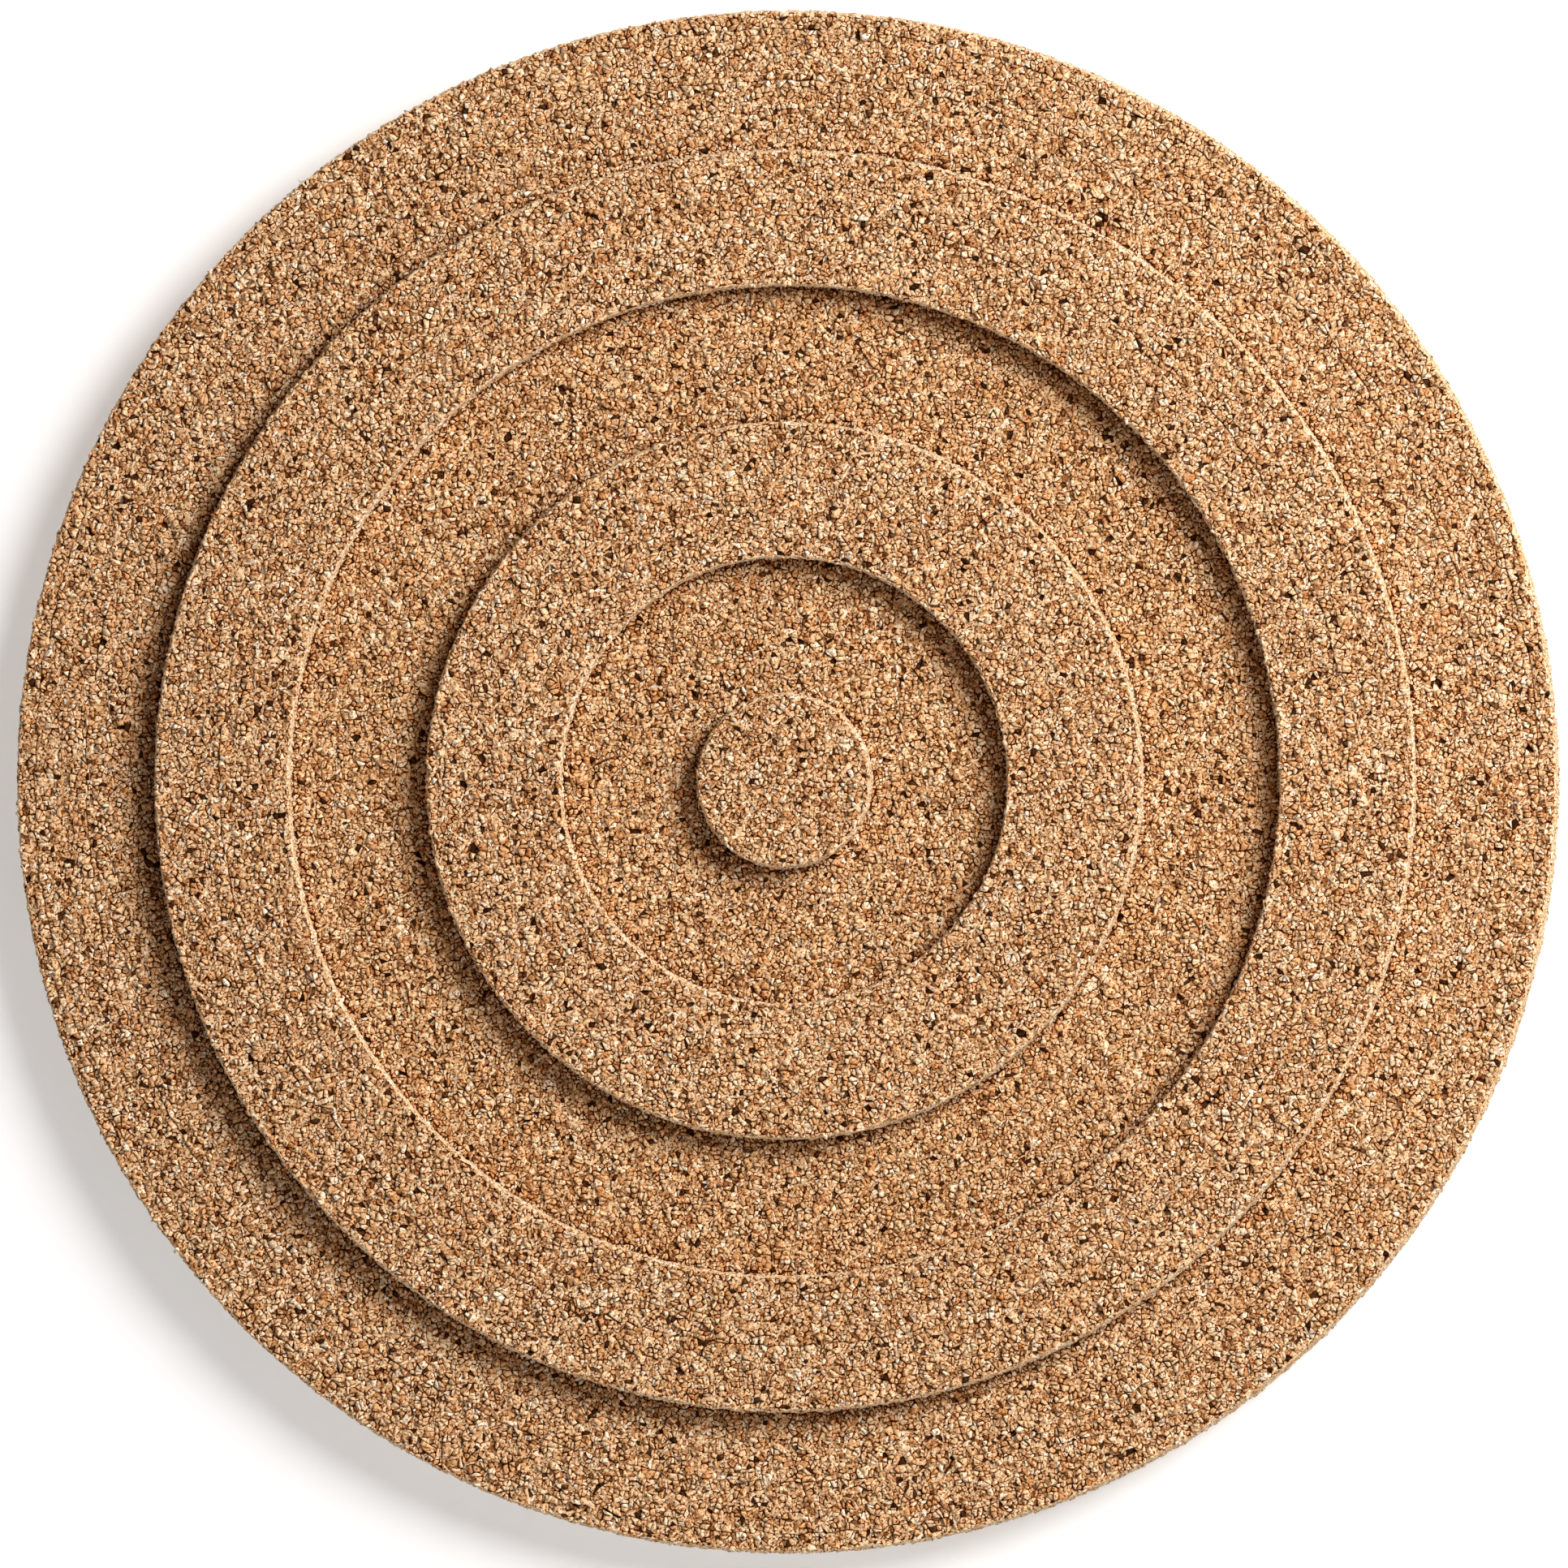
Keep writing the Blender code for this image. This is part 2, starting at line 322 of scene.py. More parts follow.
def merged(corners, first, second):
    """Draws the ends of each given edge to one point. Returns new corners and each old corner's number."""
    label = np.arange(len(corners))
    for _ in range(MERGE_PASSES):
        low = np.minimum(label[first], label[second])
        np.minimum.at(label, first, low)
        np.minimum.at(label, second, low)
    _, label, share = np.unique(label, return_inverse=True, return_counts=True)
    places = [np.bincount(label, axis) / share for axis in corners.T]
    return np.stack(places, axis=1), label


def next_round(cell):
    """For pairs sorted by cell: each pair's next one round its cell, and each cell's first pair and size."""
    _, start, size = np.unique(cell, return_index=True, return_counts=True)
    ahead = np.arange(len(cell)) + 1
    ahead[start + size - 1] = start
    return ahead, start, size


def rim_pairs(corner, ahead, count):
    """Marks the pairs whose edge no other cell shares."""
    return ~np.isin(corner * count + corner[ahead], corner[ahead] * count + corner)


def granule_cells(rng, inner, outer, cracks):
    """Cells that fill the ring between two radii, swayed, with their shortest edges closed up. The sway fades
    out at an edge, but not at a crack, where the next part's granules begin. Returns corners, and the cell
    and corner of each pair, sorted by cell."""
    seeds = granule_seeds(rng, inner, outer)
    ghosts = [mirrored(seeds, edge) for edge in (inner, outer) if edge > 0]
    corners, cell, corner = voronoi_cells(np.concatenate([seeds, *ghosts]), len(seeds))
    ahead, _, _ = next_round(cell)
    rim = rim_pairs(corner, ahead, len(corners))
    on_rim = np.zeros(len(corners), bool)
    on_rim[corner[rim]] = True
    on_rim[corner[ahead][rim]] = True
    radius = np.hypot(*corners.T)
    edges = [edge for edge in (inner, outer) if edge not in (0, *cracks)]
    room = np.min([np.abs(edge - radius) for edge in edges] + [np.full(len(radius), SWAY_FADE)], axis=0)
    on_edge = on_rim & (room < ON_CIRCLE)
    corners = swayed(corners, room / SWAY_FADE * ~on_edge)
    first, second = corner, corner[ahead]
    short = np.hypot(*(corners[first] - corners[second]).T) < SHORT_EDGE
    short &= on_rim[first] == on_rim[second]
    corners, label = merged(corners, first[short], second[short])
    corner = label[corner]
    kept = corner != corner[ahead]
    cell, corner = cell[kept], corner[kept]
    kept = np.bincount(cell)[cell] > 2
    _, cell = np.unique(cell[kept], return_inverse=True)
    return corners, cell, corner[kept]


def granule_marks(rng, area, wall, pale):
    """Each cell's tone and hue, whether it is a chip or a crumb, and whether that chip is a dark pit. Large
    cells keep to PALE_TONES, and cells on a wall are paler."""
    count = len(area)
    tone = rng.random(count) ** DARK_TURN
    hue = rng.random(count)
    tone = np.where(area > PALE_AREA, mixed(PALE_TONES, tone), tone)
    chip = area > CHIP_AREA
    pit = chip & (rng.random(count) < PIT_SHARE)
    tone += (1 - tone) * pale * wall
    tone[pit] *= PIT_TONE
    return tone, hue, chip, pit


def add_granules(solid, rng, inner, outer, face, cracks=(), drops=(), feet=(), pale=WALL_PALE):
    """Fills the ring between two radii of a flat sheet with chips, and bends it down over its drops. A chip's
    top is its cell drawn in by a gap, lifted, tilted and raised to a blunt peak, with sides down to grooves
    that it shares with its neighbours. A small cell is a crumb instead: a low pyramid on its cell. Returns
    the edges left open at the inner and at the outer radius."""
    corners, cell, corner = granule_cells(rng, inner, outer, cracks)
    ahead, start, size = next_round(cell)
    count = len(size)
    spots = corners[corner]
    middle = np.add.reduceat(spots, start) / size[:, None]
    arm = spots - middle[cell]
    area = np.bincount(cell, arm[:, 0] * arm[ahead, 1] - arm[:, 1] * arm[ahead, 0]) / 2
    wall = fallen(middle, drops)
    flush = 1 - WALL_FLUSH * wall
    tone, hue, chip, pit = granule_marks(rng, area, wall, pale)

    # Painted shade: a groove's bottom is darkened the deeper it lies, less on a wall and more beside a wall's
    # foot
    depth = rng.random(len(corners))
    seams = 1 - WALL_SEAMS * fallen(corners, drops)
    bottoms = bent(corners, -seams * mixed(GROOVE_DEPTH, depth), face, drops)
    shade = seams * mixed(GROOVE_PAINTED_SHADE, depth) + painted_foot_shade(corners, feet)
    bottom = solid.add_points(bottoms, corners, shade)

    chip_lift = rng.normal(0, CHIP_LIFT, count)
    crumb_lift = rng.normal(-CRUMB_SINK, CRUMB_LIFT, count)
    lift = np.clip(np.where(chip, chip_lift, crumb_lift), -MOST_LIFT, MOST_LIFT)
    lift = lift * flush - pit * PIT_DEPTH
    tilt = np.clip(rng.normal(0, CHIP_TILT, (count, 2)), -MOST_TILT, MOST_TILT) * flush[:, None]
    gap = mixed(CHIP_GAP, GAP_BY_DEPTH * depth[corner] + (1 - GAP_BY_DEPTH) * rng.random(len(cell)))
    drawn = arm * (1 - np.minimum(gap / np.hypot(*arm.T), MOST_INSET))[:, None]
    height = lift[cell] + (tilt[cell] * drawn).sum(axis=1)
    own = chip[cell]
    brink = (middle[cell] + drawn)[own]
    rim_top = bottom[corner]
    # A chip's brink takes painted shade where it lies beside a wall's foot
    rim_top[own] = solid.add_points(bent(brink, height[own], face, drops), brink, painted_foot_shade(brink, feet))
    walls = np.stack([rim_top[ahead], rim_top, bottom[corner], bottom[corner[ahead]]], axis=1)
    solid.add_faces(walls[own], tone=tone[cell[own]], hue=hue[cell[own]])

    peak = middle + rng.normal(0, CROWN_LEAN, (count, 2)) * np.sqrt(np.maximum(area, 0))[:, None]
    height = lift + chip * flush * rng.uniform(*CROWN_RISE, count)
    shade = np.where(chip, painted_foot_shade(peak, feet), CRUMB_SHADE)
    tip = solid.add_points(bent(peak, height, face, drops), peak, shade)
    facets = np.stack([rim_top, rim_top[ahead], tip[cell]], axis=1)
    solid.add_faces(facets, tone=tone[cell], hue=hue[cell])

    rim = rim_pairs(corner, ahead, len(corners))
    edges = np.stack([bottom[corner], bottom[corner[ahead]]], axis=1)[rim]
    outside = np.hypot(*spots[rim].T) > (inner + outer) / 2
    return edges[~outside], edges[outside]


def add_wall(solid, edges, rows, outward, hidden=False):
    """Carries a rim through rows of (radius, y). Each rim point keeps its angle, and its radius too where a
    row gives none. The unrolled map runs on from the rim by the profile's length. Returns the last row's
    edges."""
    loop, place = np.unique(edges, return_inverse=True)
    head, tail = place.reshape(edges.shape).T
    x, y, z = solid.at(loop).T
    angle = np.arctan2(z, x)
    reach = np.hypot(*solid.flat_at(loop).T)
    radius = np.hypot(x, z)
    numbers = loop
    for row_radius, row_y in rows:
        new_radius = radius if row_radius is None else np.full(len(loop), row_radius)
        step = np.hypot(new_radius - radius, row_y - y)
        reach = reach + (step if outward else -step)
        radius, y = new_radius, np.full(len(loop), row_y)
        flat = np.stack([reach * np.cos(angle), reach * np.sin(angle)], axis=1)
        below = solid.add_points(polar(radius, angle, y), flat, 0.0)
        quads = np.stack([numbers[tail], numbers[head], below[head], below[tail]], axis=1)
        solid.add_faces(quads, material=CUT, hidden=hidden)
        numbers = below
    return np.stack([numbers[head], numbers[tail]], axis=1)


def close_between(solid, first, second):
    """Joins two loops of unlike counts. Both are sorted by angle, and each edge gets a triangle to the point
    of the other loop that was passed last."""
    angles, loops = [], []
    for edges in (first, second):
        loop = edges[:, 0]
        x, _, z = solid.at(loop).T
        angle = np.arctan2(z, x)
        order = np.argsort(angle)
        loops.append(loop[order])
        angles.append(angle[order])
    for mine, other, side, edges in ((0, 1, "left", first), (1, 0, "right", second)):
        passed = np.searchsorted(angles[other], angles[mine], side) - 1
        here = loops[mine]
        before = np.roll(here, 1)
        forward = (edges == [before[1], here[1]]).all(axis=1).any()
        pair = [here, before] if forward else [before, here]
        triangles = np.stack([*pair, loops[other][passed]], axis=1)
        solid.add_faces(triangles, material=CUT, hidden=True)


def cap(solid, edges):
    """Closes a loop with a fan to its middle."""
    middle = solid.at(edges[:, 0]).mean(axis=0)
    hub = solid.add_points(middle[None], middle[None, [0, 2]], 0.0)
    triangles = np.column_stack([edges[:, 1], edges[:, 0], np.repeat(hub, len(edges))])
    solid.add_faces(triangles, material=CUT, hidden=True)


def cork_piece(name, solid, node, materials):
    """Puts a solid into a mesh, with its marks as attributes and its unrolled map, and sets it in the frame.
    Granules are smooth, and cut faces are flat."""
    points = np.concatenate(solid.points)
    flat = np.concatenate(solid.flat)
    mesh = bpy.data.meshes.new(name)
    loops = np.concatenate([corners.ravel() for corners, _ in solid.faces])
    sizes = np.concatenate([np.full(len(corners), corners.shape[1]) for corners, _ in solid.faces])
    marks = zip(*(marks for _, marks in solid.faces))
    material, tone, hue, hidden = (np.concatenate(parts) for parts in marks)
    mesh.vertices.add(len(points))
    mesh.vertices.foreach_set("co", points.astype(np.float32).ravel())
    mesh.loops.add(len(loops))
    mesh.loops.foreach_set("vertex_index", loops.astype(np.int32))
    mesh.polygons.add(len(sizes))
    mesh.polygons.foreach_set("loop_start", (np.cumsum(sizes) - sizes).astype(np.int32))
    mesh.polygons.foreach_set("material_index", material.astype(np.int32))
    mesh.polygons.foreach_set("use_smooth", material == GRANULE)
    mesh.update(calc_edges=True)
    for label, domain, values in (
        ("tone", "FACE", tone),
        ("hue", "FACE", hue),
        # gap: how much painted shade each point takes, in grooves and beside walls' feet
        ("gap", "POINT", np.concatenate(solid.gaps)),
    ):
        mesh.attributes.new(label, "FLOAT", domain).data.foreach_set("value", values.astype(np.float32))
    reach = np.hypot(*flat.T).max()
    shown = MAP_MIDDLE + MAP_REACH * flat / reach
    tucked = CORNER_MIDDLE + CORNER_REACH * points[:, [0, 2]] / reach
    unrolled = np.where(np.repeat(hidden, sizes)[:, None], tucked[loops], shown[loops])
    mesh.uv_layers.new(name="OFBake").data.foreach_set("uv", unrolled.astype(np.float32).ravel())
    for finish in materials:
        mesh.materials.append(finish)
    piece = bpy.data.objects.new(name, mesh)
    bpy.context.scene.collection.objects.link(piece)
    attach(piece, "root")
    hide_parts(node)


class Shade:
    """A shader socket. An expression on it adds Math nodes to its material."""

    def __init__(self, finish, socket):
        self.finish = finish
        self.socket = socket

    def math(self, operation, first, second=0.0):
        return self.finish.node("Math", {"operation": operation}, {0: first, 1: second})

    def __add__(self, other):
        return self.math("ADD", self, other)

    __radd__ = __add__

    def __mul__(self, other):
        return self.math("MULTIPLY", self, other)

    __rmul__ = __mul__

    def __sub__(self, other):
        return self.math("SUBTRACT", self, other)

    def __rsub__(self, other):
        return self.math("SUBTRACT", other, self)

    def __gt__(self, other):
        return self.math("GREATER_THAN", self, other)

    def __lt__(self, other):
        return self.math("LESS_THAN", self, other)


class Finish:
    """A material's node tree, with one method that adds any node."""

    def __init__(self, name):
        self.material = bpy.data.materials.new(name)
        self.material.use_nodes = True
        self.tree = self.material.node_tree
        self.tree.nodes.clear()

    def node(self, kind, settings=None, sockets=None, output=0):
        """Adds a node, makes its settings, then sets or links its sockets. Returns one of its outputs."""
        node = self.tree.nodes.new("ShaderNode" + kind)
        for name, value in (settings or {}).items():
            if name == "stops":
                set_stops(node.color_ramp, value)
            else:
                setattr(node, name, value)
        for name, value in (sockets or {}).items():
            if isinstance(value, Shade):
                self.tree.links.new(value.socket, node.inputs[name])
            else:
                node.inputs[name].default_value = value
        return Shade(self, node.outputs[output])

    def place(self):
        return self.node("TexCoord", output="Object")

    def attribute(self, name):
        return self.node("Attribute", {"attribute_name": name}, output="Fac")

    def noise(self, scale, detail=2.0, roughness=0.5, place=None):
        sockets = {"Vector": place or self.place(), "Scale": scale, "Detail": detail, "Roughness": roughness}
        return self.node("TexNoise", {}, sockets)

    def ramp(self, factor, stops):
        return self.node("ValToRGB", {"stops": stops}, {"Fac": factor})

    def mix(self, factor, first, second, blend="MIX"):
        settings = {"data_type": "RGBA", "blend_type": blend}
        return self.node("Mix", settings, {0: factor, 6: first, 7: second}, output=2)

    def bump(self, height, strength, distance):
        return self.node("Bump", {}, {"Height": height, "Strength": strength, "Distance": distance})

    def surface(self, **sockets):
        """Ends the tree in a Principled surface."""
        named = {name.replace("_", " "): value for name, value in sockets.items()}
        self.output(self.node("BsdfPrincipled", {}, named))
        return self.material

    def output(self, shader):
        """Ends the tree in a shader."""
        end = self.tree.nodes.new("ShaderNodeOutputMaterial")
        self.tree.links.new(shader.socket, end.inputs["Surface"])


def set_stops(color_ramp, stops):
    """Gives a ramp its stops, each a place and a colour."""
    while len(color_ramp.elements) < len(stops):
        color_ramp.elements.new(0.5)
    for element, (position, colour) in zip(color_ramp.elements, stops):
        element.position = position
        element.color = (*colour, 1.0)


# Colours of cork: a chip by its tone, its brown specks, and the shade painted into the gaps round it from
# shallow to deep
CORK_TONES = [
    (0.000, (0.040, 0.016, 0.006)),
    (0.010, (0.090, 0.038, 0.014)),
    (0.030, (0.350, 0.170, 0.067)),
    (0.095, (0.660, 0.372, 0.170)),
    (0.260, (0.815, 0.560, 0.322)),
    (0.600, (0.888, 0.668, 0.418)),
    (0.880, (0.942, 0.803, 0.588)),
    (1.000, (0.975, 0.935, 0.805)),
]
SPECK_SHADES = [
    (0.36, (0.240, 0.095, 0.028)),
    (0.45, (0.790, 0.590, 0.400)),
    (0.52, (1.000, 1.000, 1.000)),
]
GAP_PAINTED_SHADES = [
    (0.00, (1.0, 1.0, 1.0)),
    (0.22, (0.97, 0.91, 0.82)),
    (0.42, (0.66, 0.34, 0.125)),
    (0.68, (0.11, 0.030, 0.005)),
]
# How far the speck noise breaks up the painted gap shade
GAP_RAGGED = 2.8

# Chips with a high hue lean to orange, those with a low one to grey
ORANGE_FROM = 0.88
ORANGE = (1.0, 0.76, 0.50, 1.0)
GREY_UNDER = 0.06
GREY = (0.78, 0.71, 0.60, 1.0)
HUE_SHARE = 0.5

# The sunk bands take a copy of the raised cork with painted shade: a little darker and warmer in the recesses
# between the rings
RAISED_PAINTED_SHADE = (1.0, 1.0, 1.0)
SUNK_PAINTED_SHADE = (0.99, 0.968, 0.925)

# Colours of cut cork and of fibreboard
CUT_TONES = [
    (0.00, (0.260, 0.125, 0.052)),
    (0.10, (0.560, 0.325, 0.155)),
    (0.35, (0.760, 0.505, 0.275)),
    (0.70, (0.840, 0.600, 0.350)),
    (1.00, (0.900, 0.700, 0.450)),
]
CUT_SEAM = (0.22, 0.105, 0.042, 1.0)
CUT_SEAM_WIDTH = 0.07
CUT_SEAM_SHARE = 0.55
FIBRE_TONES = [
    (0.30, (0.130, 0.070, 0.032)),
    (0.48, (0.270, 0.155, 0.075)),
    (0.62, (0.380, 0.235, 0.125)),
    (0.75, (0.520, 0.360, 0.210)),
]

# Colour and roughness of metal, and its brightest and dullest patches as shares of the colour
PLATE_METAL = ((0.55, 0.55, 0.54), 0.42)
SCREW_METAL = ((0.66, 0.65, 0.62), 0.34)
METAL_BRIGHT = 1.18
METAL_DULL = 0.72


def cork_face(name, painted_shade):
    """Tan chips, with shade painted into the gaps between them. A chip's tone runs through a ramp. One chip
    in eight leans to orange, and half as many to grey. Fine noise puts brown specks on chips and makes the
    painted gap shade ragged."""
    cork = Finish(name)
    colour = cork.ramp(cork.attribute("tone"), CORK_TONES)
    hue = cork.attribute("hue")
    colour = cork.mix((hue > ORANGE_FROM) * HUE_SHARE, colour, ORANGE, "MULTIPLY")
    colour = cork.mix((hue < GREY_UNDER) * HUE_SHARE, colour, GREY, "MULTIPLY")
    speck = cork.noise(scale=2000, detail=3.0, roughness=0.6)
    colour = cork.mix(1.0, colour, cork.ramp(speck, SPECK_SHADES), "MULTIPLY")
    # Painted shade of the sunk bands; none on the raised cork
    colour = cork.mix(1.0, colour, (*painted_shade, 1.0), "MULTIPLY")
    # Painted shade in the gaps, made ragged by the speck noise
    gap = cork.attribute("gap") + (0.5 - speck) * GAP_RAGGED
    colour = cork.mix(1.0, colour, cork.ramp(gap, GAP_PAINTED_SHADES), "MULTIPLY")
    return cork.surface(
        Base_Color=colour,
        Roughness=speck * 0.2 + 0.72,
        Specular_IOR_Level=0.05,
        Normal=cork.bump(speck, strength=0.6, distance=0.3 * MM),
    )


def cork_cut(name):
    """Cork cut flat at the board's back: granules from tan to brown, with thin darker seams."""
    cork = Finish(name)
    place = cork.place()
    wobble = cork.noise(scale=1400, detail=3.0, place=place)
    cells = {"Vector": place, "Scale": 820.0, "Randomness": 1.0}
    shade = cork.node("TexVoronoi", {}, cells, output="Color")
    tone = cork.node("SeparateColor", {}, {"Color": shade})
    seam = cork.node("TexVoronoi", {"feature": "DISTANCE_TO_EDGE"}, cells)
    colour = cork.ramp(tone + (wobble - 0.5) * 0.5, CUT_TONES)
    colour = cork.mix((seam < CUT_SEAM_WIDTH) * CUT_SEAM_SHARE, colour, CUT_SEAM)
    return cork.surface(
        Base_Color=colour,
        Roughness=wobble * 0.2 + 0.7,
        Specular_IOR_Level=0.08,
        Normal=cork.bump(seam + wobble * 0.4, strength=0.5, distance=0.15 * MM),
    )


def fibreboard(name):
    """Pressed wood fibre: fine pale and dark flecks on brown, with soft clouds."""
    board = Finish(name)
    place = board.place()
    stretched = board.node("Mapping", {}, {"Vector": place, "Scale": (1.0, 1.0, 0.35)})
    fleck = board.noise(scale=1500, detail=4.0, roughness=0.7, place=stretched)
    cloud = board.noise(scale=45, detail=3.0, roughness=0.5, place=place)
    return board.surface(
        Base_Color=board.ramp(fleck * 0.7 + cloud * 0.3, FIBRE_TONES),
        Roughness=fleck * 0.25 + 0.55,
        Specular_IOR_Level=0.3,
        Normal=board.bump(fleck, strength=0.25, distance=0.1 * MM),
    )


def zinc_steel(name, colour, roughness):
    """Zinc plate: fine rolling lines and soft patches in the gloss."""
    zinc = Finish(name)
    place = zinc.place()
    stretched = zinc.node("Mapping", {}, {"Vector": place, "Scale": (1.0, 1.0, 0.04)})
    lines = zinc.noise(scale=4200, detail=2.0, roughness=0.6, place=stretched)
    patch = zinc.noise(scale=260, detail=3.0, roughness=0.6, place=place)
    bright = [min(1.0, METAL_BRIGHT * level) for level in colour]
    dull = [METAL_DULL * level for level in colour]
    tint = zinc.ramp(lines * 0.4 + patch * 0.6, [(0.3, dull), (0.5, colour), (0.7, bright)])
    return zinc.surface(
        Base_Color=tint,
        Metallic=1.0,
        Roughness=patch * 0.25 + lines * 0.12 + (roughness - 0.15),
        Normal=zinc.bump(lines, strength=0.12, distance=0.03 * MM),
    )


def studio_paper(name):
    """A white backdrop that keeps the board's shadow. It shows as white to the camera and in reflections, and
    it lets the view and the lamps through from behind."""
    paper = Finish(name)
    kinds = ("Camera", "Glossy", "Shadow")
    path = {kind: paper.node("LightPath", output=f"Is {kind} Ray") for kind in kinds}
    seen = path["Camera"].math("MAXIMUM", path["Camera"], path["Glossy"])
    matt = paper.node("BsdfDiffuse", {}, {"Color": (PAPER_GREY, PAPER_GREY, PAPER_GREY, 1.0)})
    glow = paper.node("Emission", {}, {"Color": (*WHITE, 1.0), "Strength": seen * PAPER_GLOW})
    lit = paper.node("AddShader", {}, {0: matt, 1: glow})
    behind = paper.node("NewGeometry", output="Backfacing")
    clear = paper.node("BsdfTransparent")
    through = behind.math("MAXIMUM", behind, path["Shadow"])
    paper.output(paper.node("MixShader", {}, {0: through, 1: lit, 2: clear}))
    return paper.material


def ring_part(name, node, inner, outer, crack, seed, materials):
    """A ring of cork glued on the base's face, or a disc where inner is 0. Its granules run down its walls.
    Where a radius is the crack, it is cut straight down, against the next part of the same ring. A ring in
    one part has None for its crack."""
    rng = np.random.default_rng(seed)
    solid = Solid()
    back = BASE_FACE - GLUE_LINE
    height = back - RING_FACE
    inward = Drop(-1, inner, height, INNER_LEAN)
    outward = Drop(1, outer, height, OUTER_LEAN)
    drops = [drop for drop in (inward, outward) if drop.edge not in (0, crack)]
    low, high = (foot(drop) if drop in drops else drop.edge for drop in (inward, outward))
    feet = [foot(drop) for drop in drops]
    inside, outside = add_granules(solid, rng, low, high, RING_FACE, (crack,), drops, feet)
    if outer == crack:
        outside = add_wall(solid, outside, [(None, back)], True, hidden=True)
    if inner == crack:
        inside = add_wall(solid, inside, [(None, back)], False, hidden=True)
    if inner:
        close_between(solid, outside, inside)
    else:
        cap(solid, outside)
    cork_piece(name, solid, node, materials)


def base_rim(seed, materials):
    """The outermost part of the base's face, its rim, and its whole back, which is a thin flange behind the
    parts further in."""
    rng = np.random.default_rng(seed)
    solid = Solid()
    recess = BACKING_RADIUS + RECESS_GAP
    flange = BACK_PLANE - BACK_FLANGE
    drop = Drop(1, BOARD_RADIUS - BASE_TRIM - BASE_LEAN, BACK_PLANE - BASE_FACE, BASE_LEAN)
    rim = (RIM_CRACK, foot(drop))
    inside, outside = add_granules(solid, rng, *rim, BASE_FACE, (RIM_CRACK,), [drop], pale=RIM_PALE)
    rows = [(recess + RECESS_BEVEL, BACK_PLANE), (recess, BACK_PLANE - RECESS_BEVEL)]
    outside = add_wall(solid, outside, rows, True)
    inside = add_wall(solid, inside, [(None, flange), (recess, flange)], False, hidden=True)
    close_between(solid, outside, inside)
    cork_piece("base_rim", solid, "base_disc", materials)


def base_margin(seed, materials):
    """The middle part of the base's outer band, between two cracks."""
    rng = np.random.default_rng(seed)
    solid = Solid()
    cracks = (SHOULDER_CRACK, RIM_CRACK)
    inside, outside = add_granules(solid, rng, *cracks, BASE_FACE, cracks)
    sheer = [(None, BACK_PLANE - BACK_FLANGE - SEAM_GAP)]
    outside = add_wall(solid, outside, sheer, True, hidden=True)
    inside = add_wall(solid, inside, sheer, False, hidden=True)
    close_between(solid, outside, inside)
    cork_piece("base_margin", solid, "base_disc", materials)


def base_shoulder(ring_edge, seed, materials):
    """The inner part of the base's outer band, and the wall of the recess behind it that holds the
    fibreboard."""
    rng = np.random.default_rng(seed)
    solid = Solid()
    recess = BACKING_RADIUS + RECESS_GAP
    floor = BACKING_FRONT - RECESS_GAP
    low = BACK_PLANE - BACK_FLANGE - SEAM_GAP
    band = (ring_edge - UNDER_RING, SHOULDER_CRACK)
    feet = [ring_edge + OUTER_LEAN]
    inside, outside = add_granules(solid, rng, *band, BASE_FACE, (SHOULDER_CRACK,), feet=feet)
    rows = [(None, low), (recess, low), (recess, floor)]
    outside = add_wall(solid, outside, rows, True, hidden=True)
    edge = OUTER_SEAM + SEAM_GAP
    rows = [(edge, BASE_FACE + HIDDEN_DROP), (edge, floor)]
    inside = add_wall(solid, inside, rows, False, hidden=True)
    close_between(solid, outside, inside)
    cork_piece("base_shoulder", solid, "base_disc", materials)


def base_band(name, inner, outer, seams, seed, materials):
    """A part of the base with chips in the sunk band between two walls, and plain faces under the rings
    beside it, out to two seams. Where the inner seam is 0, it is a whole disc."""
    rng = np.random.default_rng(seed)
    solid = Solid()
    floor = BACKING_FRONT - RECESS_GAP
    feet = [inner + OUTER_LEAN, outer - INNER_LEAN]
    band = (inner - UNDER_RING, outer + UNDER_RING)
    inside, outside = add_granules(solid, rng, *band, BASE_FACE, feet=feet)
    edge = seams[1] - SEAM_GAP
    rows = [(edge, BASE_FACE + HIDDEN_DROP), (edge, floor)]
    outside = add_wall(solid, outside, rows, True, hidden=True)
    if seams[0]:
        edge = seams[0] + SEAM_GAP
        rows = [(edge, BASE_FACE + HIDDEN_DROP), (edge, floor)]
        inside = add_wall(solid, inside, rows, False, hidden=True)
        close_between(solid, outside, inside)
    else:
        cap(solid, inside)
        cap(solid, outside)
    cork_piece(name, solid, "base_disc", materials)


def build_cork():
    """The four cork pieces that show. A large one is in parts that meet under a ring or along a wavy crack
    between granules."""
    cut = cork_cut("cork_cut")
    raised = [cork_face("cork_raised", RAISED_PAINTED_SHADE), cut]
    sunk = [cork_face("cork_sunk", SUNK_PAINTED_SHADE), cut]
    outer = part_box("outer_ring")[1].x - OUTER_TRIM
    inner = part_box("inner_ring")[1].x - INNER_TRIM
    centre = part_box("centre_disc")[1].x - INNER_TRIM
    outer_hole = outer - BAND_WIDTH
    inner_hole = inner - BAND_WIDTH
    ring_part("outer_ring_outside", "outer_ring", RING_CRACK, outer, RING_CRACK, 11, raised)
    ring_part("outer_ring_inside", "outer_ring", outer_hole, RING_CRACK, RING_CRACK, 12, raised)
    ring_part("inner_ring_cork", "inner_ring", inner_hole, inner, None, 13, raised)
    ring_part("centre_disc_cork", "centre_disc", 0.0, centre, None, 14, raised)
    base_rim(15, raised)
    base_margin(19, raised)
    base_shoulder(outer, 16, raised)
    base_band("base_wide_band", inner, outer_hole, (INNER_SEAM, OUTER_SEAM), 17, sunk)
    base_band("base_small_band", centre, inner_hole, (0.0, INNER_SEAM), 18, sunk)


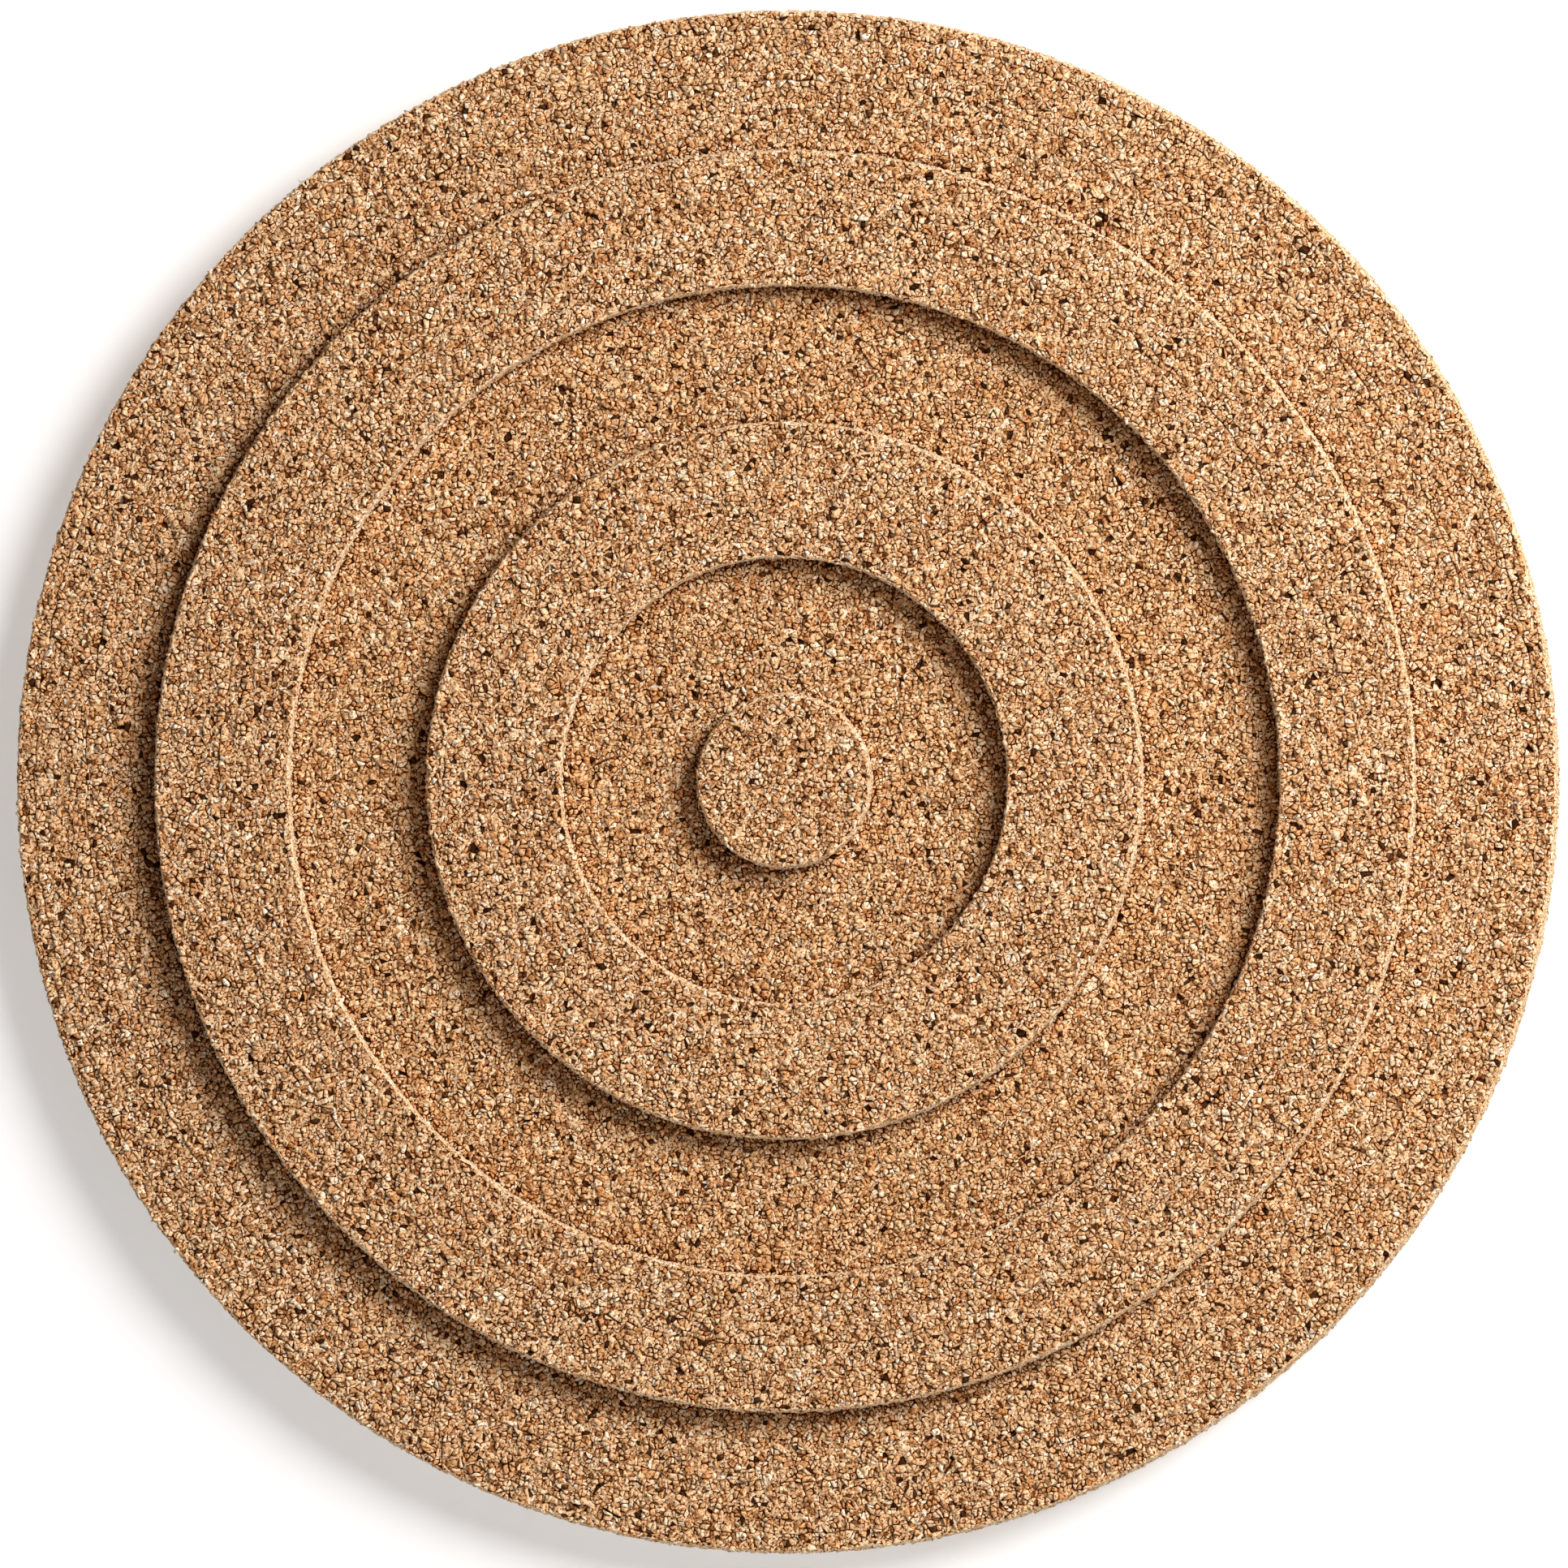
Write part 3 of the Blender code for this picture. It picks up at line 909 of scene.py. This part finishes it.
def dress_back():
    """Finishes for the pieces of the back, whose shapes stay as they are."""
    finishes = {
        "backing_board": fibreboard("fibreboard"),
        "hanger_plate": zinc_steel("zinc_plate", *PLATE_METAL),
        "hanger_screw": zinc_steel("screw_steel", *SCREW_METAL),
    }
    for name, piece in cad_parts.items():
        for start, finish in finishes.items():
            if name.startswith(start):
                for place in piece.material_slots:
                    place.material = finish


def add_sheet(name, corners, material):
    """A flat four-cornered sheet of the stage."""
    mesh = bpy.data.meshes.new(name)
    mesh.from_pydata(corners, [], [(0, 1, 2, 3)])
    mesh.materials.append(material)
    sheet = bpy.data.objects.new(name, mesh)
    bpy.context.scene.collection.objects.link(sheet)


def add_lamp(name, place, size, watts, tint=WHITE):
    """A round area lamp that points at the board's middle and doesn't show itself."""
    lamp = bpy.data.lights.new(name, "AREA")
    lamp.shape = "DISK"
    lamp.size = size
    lamp.energy = watts
    lamp.color = tint
    obj = bpy.data.objects.new(name, lamp)
    obj.location = place
    obj.rotation_euler = (-Vector(place)).to_track_quat("-Z", "Y").to_euler()
    obj.visible_camera = False
    bpy.context.scene.collection.objects.link(obj)


def add_front_lamp(name, azimuth, height, size, level, tint=WHITE):
    """A lamp in front of the board that gives a white face square to the wall this level. Azimuth runs round
    the board from its right side, and height is the angle to the wall."""
    across = math.cos(height)
    way = Vector((across * math.cos(azimuth), -math.sin(height), across * math.sin(azimuth)))
    watts = level * (math.pi * LAMP_DISTANCE) ** 2 / math.sin(height)
    add_lamp(name, way * LAMP_DISTANCE, size, watts, tint)


def build_stage():
    """A white wall and a pale floor, a soft lamp from the upper right, and weak ones in front and behind."""
    paper = studio_paper("studio_paper")
    left, near, right, far, top = -STAGE_REACH, -STAGE_REACH, STAGE_REACH, STAGE_REACH, STAGE_REACH
    wall, low = WALL_PLANE, FLOOR_LEVEL
    add_sheet("wall", [(left, wall, low), (right, wall, low), (right, wall, top), (left, wall, top)], paper)
    add_sheet("floor", [(left, near, low), (right, near, low), (right, far, low), (left, far, low)], paper)
    add_front_lamp("key", **KEY)
    add_front_lamp("fill", **FILL, tint=WEAK_TINT)
    add_lamp("back", **BACK)
    world = bpy.data.worlds.new("studio")
    bpy.context.scene.world = world
    world.use_nodes = True
    nodes, links = world.node_tree.nodes, world.node_tree.links
    nodes.clear()
    path = nodes.new("ShaderNodeLightPath")
    ambient = nodes.new("ShaderNodeBackground")
    white = nodes.new("ShaderNodeBackground")
    mix = nodes.new("ShaderNodeMixShader")
    ambient.inputs["Strength"].default_value = AMBIENT_LEVEL
    ambient.inputs["Color"].default_value = (*WEAK_TINT, 1.0)
    white.inputs["Color"].default_value = (*WHITE, 1.0)
    links.new(path.outputs["Is Camera Ray"], mix.inputs[0])
    links.new(ambient.outputs[0], mix.inputs[1])
    links.new(white.outputs[0], mix.inputs[2])
    links.new(mix.outputs[0], nodes.new("ShaderNodeOutputWorld").inputs["Surface"])


def add_camera():
    """A long lens almost square to the board, a little from the right and below."""
    middle = FRAME_PIXELS / 2
    aim = Vector((middle - BOARD_MIDDLE_PIXELS[0], 0, BOARD_MIDDLE_PIXELS[1] - middle)) / PIXELS_PER_METRE
    data = bpy.data.cameras.new("camera")
    data.sensor_width = SENSOR
    data.lens = SENSOR * CAMERA_DISTANCE * PIXELS_PER_METRE / FRAME_PIXELS
    data.clip_end = CAMERA_END
    camera = bpy.data.objects.new("camera", data)
    camera.location = aim + CAMERA_DISTANCE * Vector((CAMERA_SLOPES[0], -1, -CAMERA_SLOPES[1]))
    camera.rotation_euler = (aim - camera.location).to_track_quat("-Z", "Y").to_euler()
    bpy.context.scene.collection.objects.link(camera)
    bpy.context.scene.camera = camera


build_cork()
dress_back()
build_stage()
add_camera()
bpy.context.scene.view_settings.view_transform = "Standard"
